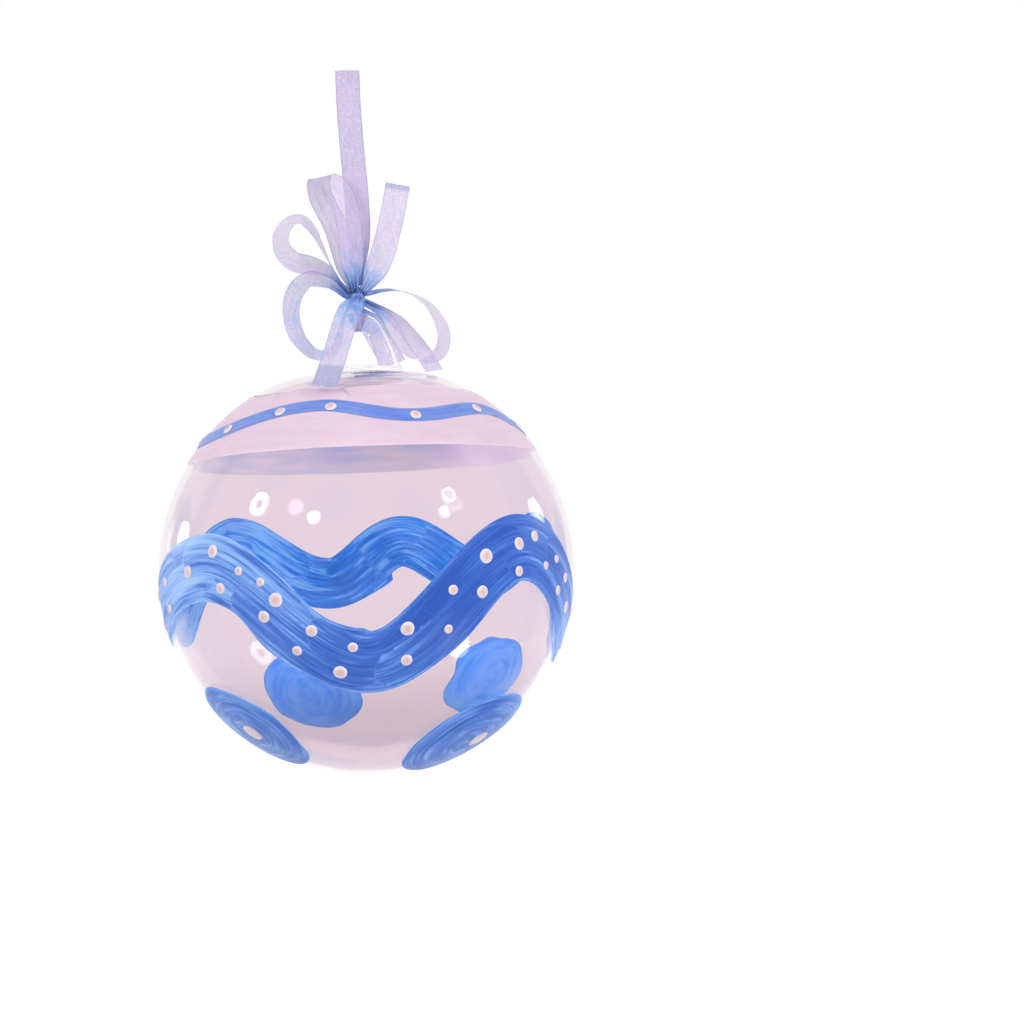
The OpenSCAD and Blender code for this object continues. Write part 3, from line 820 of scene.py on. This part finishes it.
def glass_material(name, tint, low_tint, late, wave_scale, wave_height):
    """Blown glass: clear, faintly tinted and a little deeper towards the foot, its surface not quite even."""
    n = new_material(name)
    foot, above = (BALL_Z - BALL_R) * 0.001, (BALL_Z + 0.2 * BALL_R) * 0.001
    height = n.add("ShaderNodeMapRange", n.part(n.place(), "Z"), foot, above).outputs[0]
    n.set(Base_Color=n.ramp(height, [(0.2, low_tint), (0.52, tint)]), Roughness=0)
    n.set(IOR=1.25, Transmission_Weight=1)
    n.bump(n.noise(n.place(), wave_scale, 2), wave_height)
    # Lamps shine through the glass instead of leaving what is behind it dark. Light caught between its faces
    # gets out after a few turns, the sooner the more it was reflected
    path = n.add("ShaderNodeLightPath").outputs
    clear = n.add("ShaderNodeBsdfTransparent", n.mix(path["Is Shadow Ray"], late, (1, 1, 1)))
    caught = n.math("GREATER_THAN", n.plus(path["Ray Depth"], n.times(path["Glossy Depth"], 1.5)), 6.2)
    let_out = n.math("MAXIMUM", path["Is Shadow Ray"], caught)
    return n.surface(n.add("ShaderNodeMixShader", let_out, n.shader.outputs[0], clear.outputs[0]))


def thin_paint(n, share):
    """Light soaks through a coat of paint, so its underside isn't dark."""
    n.set(Subsurface_Weight=share, Subsurface_Radius=(1, 1, 1), Subsurface_Scale=0.0004)
    return n.owner


def blue_material(name, top_colours, underside_lit_colours, shine=0.3, fine_along=1.3):
    """Brushed blue paint: streaks of three strengths along the brush's way, softer underneath, where it is
    painted lighter and bluer as painted light that soaks through the thin paint.
    """
    deep, middle, light = (linear(*colour) for colour in top_colours)
    lit_underside_deep, lit_underside_middle, lit_underside_pale = (linear(*colour) for colour in underside_lit_colours)
    n = new_material(name)
    stroke = n.carried("stroke", "Vector")
    broad = n.noise(n.stretched(stroke, 1, 0.45, 0.3), 1, 2, 0.5, 0.5)
    fine = n.noise(n.stretched(stroke, fine_along, 1.7, 0.4), 1, 5, 0.66, 0.25)
    tone = n.times(n.carried("tone"), 0.09)
    mixed = n.plus(n.plus(n.times(broad, 0.42), n.times(fine, 0.58)), tone)
    top = n.ramp(mixed, [(0.36, deep), (0.5, middle), (0.62, light), (0.74, linear(172, 200, 250))])
    edge = n.carried("edge")
    rim = n.ramp(edge, [(0, 0), (0.14, 0.05), (0.3, 1), (0.5, 0.7), (0.7, 0)])
    broken = n.ramp(n.noise(n.stretched(stroke, 1.6, 0.1, 0.3), 1, 2), [(0.42, 0), (0.62, 0.75)])
    top = n.mix(n.times(rim, broken), top, light)
    soft = n.plus(n.noise(n.stretched(stroke, 2, 0.9, 0.5), 1, 3, 0.55, 0.4), tone)
    # The underside, seen through the glass, is painted lighter and bluer than the top: painted light for
    # light that soaks through the thin paint. It is darker towards its edge
    underside_light_and_shade = n.ramp(soft, [(0.36, lit_underside_deep), (0.5, lit_underside_middle), (0.64, lit_underside_pale)])
    underside_light_and_shade = n.mix(n.ramp(edge, [(0.2, 0.4), (0.5, 0)]), underside_light_and_shade, tuple(0.7 * c for c in lit_underside_deep))
    n.set(Base_Color=n.mix(n.carried("under"), top, underside_light_and_shade), Specular_IOR_Level=shine)
    n.roughen(0.24, fine)
    n.bump(fine, 0.00006)
    return thin_paint(n, 0.7)


def cap_material():
    """Thin pinkish white paint, with faint strokes round the ball and a cooler underside, painted grey as
    painted shade.
    """
    n = new_material("cap_paint")
    stroke = n.carried("stroke", "Vector")
    streak = n.noise(n.stretched(stroke, 5, 5, 0.7), 1, 5, 0.6, 0.6)
    top = n.ramp(streak, [(0.3, linear(217, 191, 208)), (0.7, linear(224, 201, 216))])
    patch = n.noise(n.stretched(stroke, 2.4, 2.4, 0.5), 1, 2, 0.5, 0.5)
    # The underside is painted a cool grey: painted shade of the ball's inside
    underside_light_and_shade = n.ramp(patch, [(0.4, linear(212, 212, 214)), (0.64, linear(192, 203, 216))])
    # The underside's painted shade is paler and pinker in the cap's right half
    right = n.ramp(n.part(stroke, "Y"), [(0.3, 0), (0.72, 0.85)])
    underside_light_and_shade = n.mix(right, underside_light_and_shade, linear(224, 213, 224))
    underside_light_and_shade = n.mix(n.times(n.carried("tone"), 0.5), underside_light_and_shade, linear(158, 178, 222))
    n.set(Base_Color=n.mix(n.carried("under"), top, underside_light_and_shade), Specular_IOR_Level=0.3)
    n.roughen(0.3, streak)
    n.bump(streak, 0.00002)
    return thin_paint(n, 0.8)


def mottled_material(name, scale, detail, rough, dark, pale, least, shine, relief=0):
    """Paint of two near shades in small patches."""
    n = new_material(name)
    mottle = n.noise(n.place(), scale, detail, rough)
    n.set(Base_Color=n.ramp(mottle, [(0.35, linear(*dark)), (0.65, linear(*pale))]), Specular_IOR_Level=shine)
    n.roughen(least, mottle)
    if relief:
        n.bump(mottle, relief)
    return n.owner


def dot_material():
    """Thick pale drops, a little warmer in their middles."""
    n = new_material("pale_dots")
    mottle = n.noise(n.place(), 1500, 3)
    warm = n.times(n.math("SUBTRACT", 1, n.carried("outward")), 0.9)
    n.set(Base_Color=n.ramp(n.plus(warm, n.times(mottle, 0.25)), [
        (0.16, linear(244, 236, 248)), (0.5, linear(230, 206, 212)), (0.9, linear(222, 186, 180)),
    ]))
    n.roughen(0.25, mottle)
    n.bump(mottle, 0.00003)
    return n.owner


# From one thread to the next, along the ribbon and across it, in metres
THREAD_ALONG, THREAD_ACROSS = 0.00034, 0.00030


def organza_material(name, pale, blue, core, least, most):
    """Sheer woven ribbon: crossed threads with gaps, streaks of sheen, bluer where it is gathered, with white
    flecks painted in as glints.
    """
    n = new_material(name)
    uv = n.add("ShaderNodeUVMap", uv_map="UVMap").outputs["UV"]
    along, across = n.part(uv, "X"), n.part(uv, "Y")
    drift = n.times(n.noise(n.stretched(uv, 700, 700, 1), 1, 2), 2.2)
    warp = n.math("SINE", n.plus(n.times(along, 2 * math.pi / THREAD_ALONG), drift))
    weft = n.math("SINE", n.plus(n.times(across, 2 * math.pi / THREAD_ACROSS), drift))
    thread = n.math("MAXIMUM", warp, weft)
    streak = n.noise(n.stretched(uv, 160, 1600, 1), 1, 3, 0.6, 0.3)
    cloud = n.noise(n.stretched(uv, 420, 500, 1), 1, 3, 0.6)
    gathered = n.math("SUBTRACT", 1, n.carried("spread"))
    edge = n.math("GREATER_THAN", n.math("ABSOLUTE", across), RIBBON_W * 0.0005 * 0.93)
    near, hem = n.carried("near"), n.carried("hem")
    tone = n.plus(n.times(gathered, 0.2), n.times(n.math("SUBTRACT", cloud, 0.5), 1.2))
    tone = n.plus(tone, n.times(near, 0.8), True)
    colour = n.ramp(tone, [(0.05, linear(*pale)), (0.4, linear(*blue)), (1, linear(*core))])
    colour = n.mix(n.times(hem, 0.6), colour, linear(150, 160, 210))
    # White flecks: painted glints of the ribbon's sparkle
    painted_glint = n.ramp(n.noise(n.stretched(uv, 1500, 1300, 1), 1, 3, 0.7), [(0.56, 0), (0.68, 0.8)])
    colour = n.mix(painted_glint, colour, linear(232, 234, 250))
    colour = n.mix(n.times(edge, 0.5), colour, linear(150, 156, 212))
    solid = n.plus(n.times(thread, 0.16), n.times(streak, 0.5))
    for covering, share in ((gathered, 0.18), (edge, 0.2), (n.math("MAXIMUM", near, hem), 0.25)):
        solid = n.plus(solid, n.times(covering, share))
    alpha = n.math("MINIMUM", n.math("MAXIMUM", n.plus(solid, least), 0.12), most)
    n.set(Base_Color=colour, Alpha=alpha, Roughness=0.42, Specular_IOR_Level=0.45)
    n.set(Sheen_Weight=0.35, Sheen_Roughness=0.4, Sheen_Tint=(0.9, 0.92, 1))
    n.bump(n.plus(thread, n.times(streak, 2)), 0.00003)
    return n.owner


ball_glass = glass_material(
    "ball_glass", (0.886, 0.80, 0.85), (0.745, 0.655, 0.70), (0.9, 0.86, 0.9), 55, 0.00015,
)
eye_glass = glass_material(
    "eye_glass", (0.96, 0.93, 0.95), (0.96, 0.93, 0.95), (0.85, 0.88, 0.87), 260, 0.0003,
)
blue_paint = blue_material(
    "blue_paint", [(36, 90, 184), (68, 121, 206), (142, 184, 244)],
    [(16, 118, 206), (34, 142, 232), (118, 188, 246)],
)
spot_paint = blue_material(
    "spot_blue", [(42, 96, 190), (72, 124, 208), (136, 178, 244)],
    [(50, 148, 255), (72, 158, 255), (100, 172, 255)], 0.12, 1,
)
stripe_paint = blue_material(
    "stripe_blue", [(98, 132, 226), (116, 148, 236), (138, 168, 246)],
    [(90, 146, 240), (104, 156, 240), (130, 170, 245)],
)
white_paint = cap_material()
pale_paint = dot_material()
middle_paint = mottled_material(
    "spot_middle_paint", 900, 4, 0.6, (232, 214, 224), (218, 196, 204), 0.25, 0.5, 0.00003,
)
# Greyer paint for the ridges raised on the cap
ridge_paint = mottled_material(
    "cap_ridge_paint", 1100, 3, 0.5, (200, 182, 202), (216, 198, 214), 0.35, 0.3,
)
organza = organza_material("organza", (210, 193, 230), (160, 186, 240), (92, 150, 230), 0.36, 0.93)
knot_organza = organza_material(
    "knot_organza", (110, 166, 234), (58, 126, 224), (34, 106, 218), 0.6, 0.97,
)


def dress(piece, material, body, slot, *nodes):
    piece.data.materials.append(material)
    if body:
        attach(piece, body)
    if nodes:
        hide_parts(*nodes)


dress(ball, ball_glass, "ball", "clear_glass", "glass_ball")
dress(cap, white_paint, "ball", "white_paint", "white_cap")
dress(cap_ridges, ridge_paint, "ball", "white_paint")
dress(stripe, stripe_paint, "ball", "blue_paint", "cap_stripe")
dress(wave, blue_paint, "ball", "blue_paint", "wave_band")
for piece, node in zip(drops, ("cap_dots", "wave_dots_upper", "wave_dots_lower")):
    dress(piece, pale_paint, "ball", "pale_paint", node)
for k in range(4):
    dress(spots[k], spot_paint, "ball", "spot_paint", f"spot_{k + 1}")
    dress(centres[k], middle_paint, "ball", "pale_paint", f"spot_centre_{k + 1}")
nodes_1 = "bow_tail_up", "bow_loop_right", "bow_loop_low", "bow_tail_low"
nodes_2 = "bow_tail_inner", "bow_loop_up", "bow_loop_left", "bow_tail_outer"
dress(bow_ribbon_1, organza, "bow", "organza", *nodes_1)
dress(bow_ribbon_2, organza, "bow", "organza", *nodes_2)
dress(hanging_ribbon, organza, None, "organza", "ribbon_front", "ribbon_turn", "ribbon_back")
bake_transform(hanging_ribbon)
dress(knot, knot_organza, "bow", "knot_organza", "bow_knot")
dress(wrap, organza, "bow", "organza", "eye_wrap")
for node in ("hanger_eye", "crown_pad"):
    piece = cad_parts[node]
    piece.data.materials.clear()
    piece.data.materials.append(eye_glass)


# ---- stage and light
def floor_material():
    """A pale surface that shows as white behind the object, and keeps the object's shadow."""
    n = new_material("floor")
    n.tree.nodes.remove(n.shader)
    matte = n.add("ShaderNodeBsdfDiffuse", (0.5, 0.5, 0.5)).outputs[0]
    glow = n.add("ShaderNodeEmission", (1, 1, 1), 0.82).outputs[0]
    both = n.add("ShaderNodeAddShader", matte, glow).outputs[0]
    return n.surface(n.add("ShaderNodeMixShader", n.seen(), matte, both))


FLOOR_HALF, FLOOR_Z = 4, -0.30
floor_mesh = bpy.data.meshes.new("floor")
corners = [(x * FLOOR_HALF, y * FLOOR_HALF, FLOOR_Z) for x, y in ((-1, -1), (1, -1), (1, 1), (-1, 1))]
floor_mesh.from_pydata(corners, [], [(0, 1, 2, 3)])
floor_mesh.materials.append(floor_material())
floor = in_scene("floor", floor_mesh)

# The world is white to the eye, and dimmer as light
WORLD_LIGHT = 0.42
world = bpy.data.worlds.new("world")
bpy.context.scene.world = world
sky = Nodes(world)
background = sky.tree.nodes["Background"].inputs
sky.put(background["Color"], (1, 1, 1))
level = sky.add("ShaderNodeMapRange", sky.seen(), 0, 1, WORLD_LIGHT, 1)
sky.put(background["Strength"], level.outputs[0])


def lamp(name, place, size, power, hole=0, seen=True):
    """A round lamp aimed at the ball's middle. Those that are seen in the glass are its highlights."""
    data = bpy.data.lights.new(name, "AREA")
    data.shape, data.size, data.energy = "DISK", size, power
    if hole:
        # A ring lamp: dark in its middle
        n = Nodes(data)
        there = n.add("ShaderNodeNewGeometry").outputs["Parametric"]
        away = n.add("ShaderNodeVectorMath", there, (0.5, 0.5, 0), operation="DISTANCE").outputs["Value"]
        ring = n.add("ShaderNodeMapRange", away, hole * 0.5 - 0.06, hole * 0.5)
        n.put(n.tree.nodes["Emission"].inputs["Strength"], ring.outputs[0])
    made = in_scene(name, data)
    made.location = place
    aim = Vector((0, 0, BALL_Z * 0.001)) - Vector(place)
    made.rotation_euler = aim.to_track_quat("-Z", "Y").to_euler()
    made.visible_camera = False
    made.visible_glossy = made.visible_transmission = seen


lamp("soft_left", (-0.7, -0.9, 0.3), 0.9, 2.5, seen=False)
lamp("soft_right", (0.8, -0.8, 0.2), 0.9, 4.6, seen=False)
lamp("soft_back", (0.1, 1.1, 0.35), 1, 4, seen=False)
lamp("spark_left", (-0.894, -0.39, 0.475), 0.21, 2.6, 0.43)
lamp("spark_left_small", (-0.51, -0.879, 0.414), 0.15, 1.5)
lamp("spark_right", (0.752, -0.578, 0.535), 0.15, 1.2, 0.65)
lamp("spark_right_low", (0.728, -0.712, 0.395), 0.12, 0.9, 0.3)
lamp("spark_left_rim", (-0.924, 0.593, 0.09), 0.2, 0.9)
lamp("spark_right_rim", (0.991, 0.442, 0.182), 0.2, 0.8)
lamp("spark_left_foot", (-0.225, -0.085, -0.27), 0.056, 0.075, 0.5)
lamp("spark_right_foot", (0.175, -0.119, -0.27), 0.045, 0.09)

# Light inside the ball, which the paint would shade
inner = bpy.data.lights.new("inner", "POINT")
inner.energy, inner.shadow_soft_size = 0.042, 0.012
inner_lamp = in_scene("inner", inner)
inner_lamp.location = (0, 0, BALL_Z * 0.001)
inner_lamp.visible_camera = inner_lamp.visible_glossy = inner_lamp.visible_transmission = False
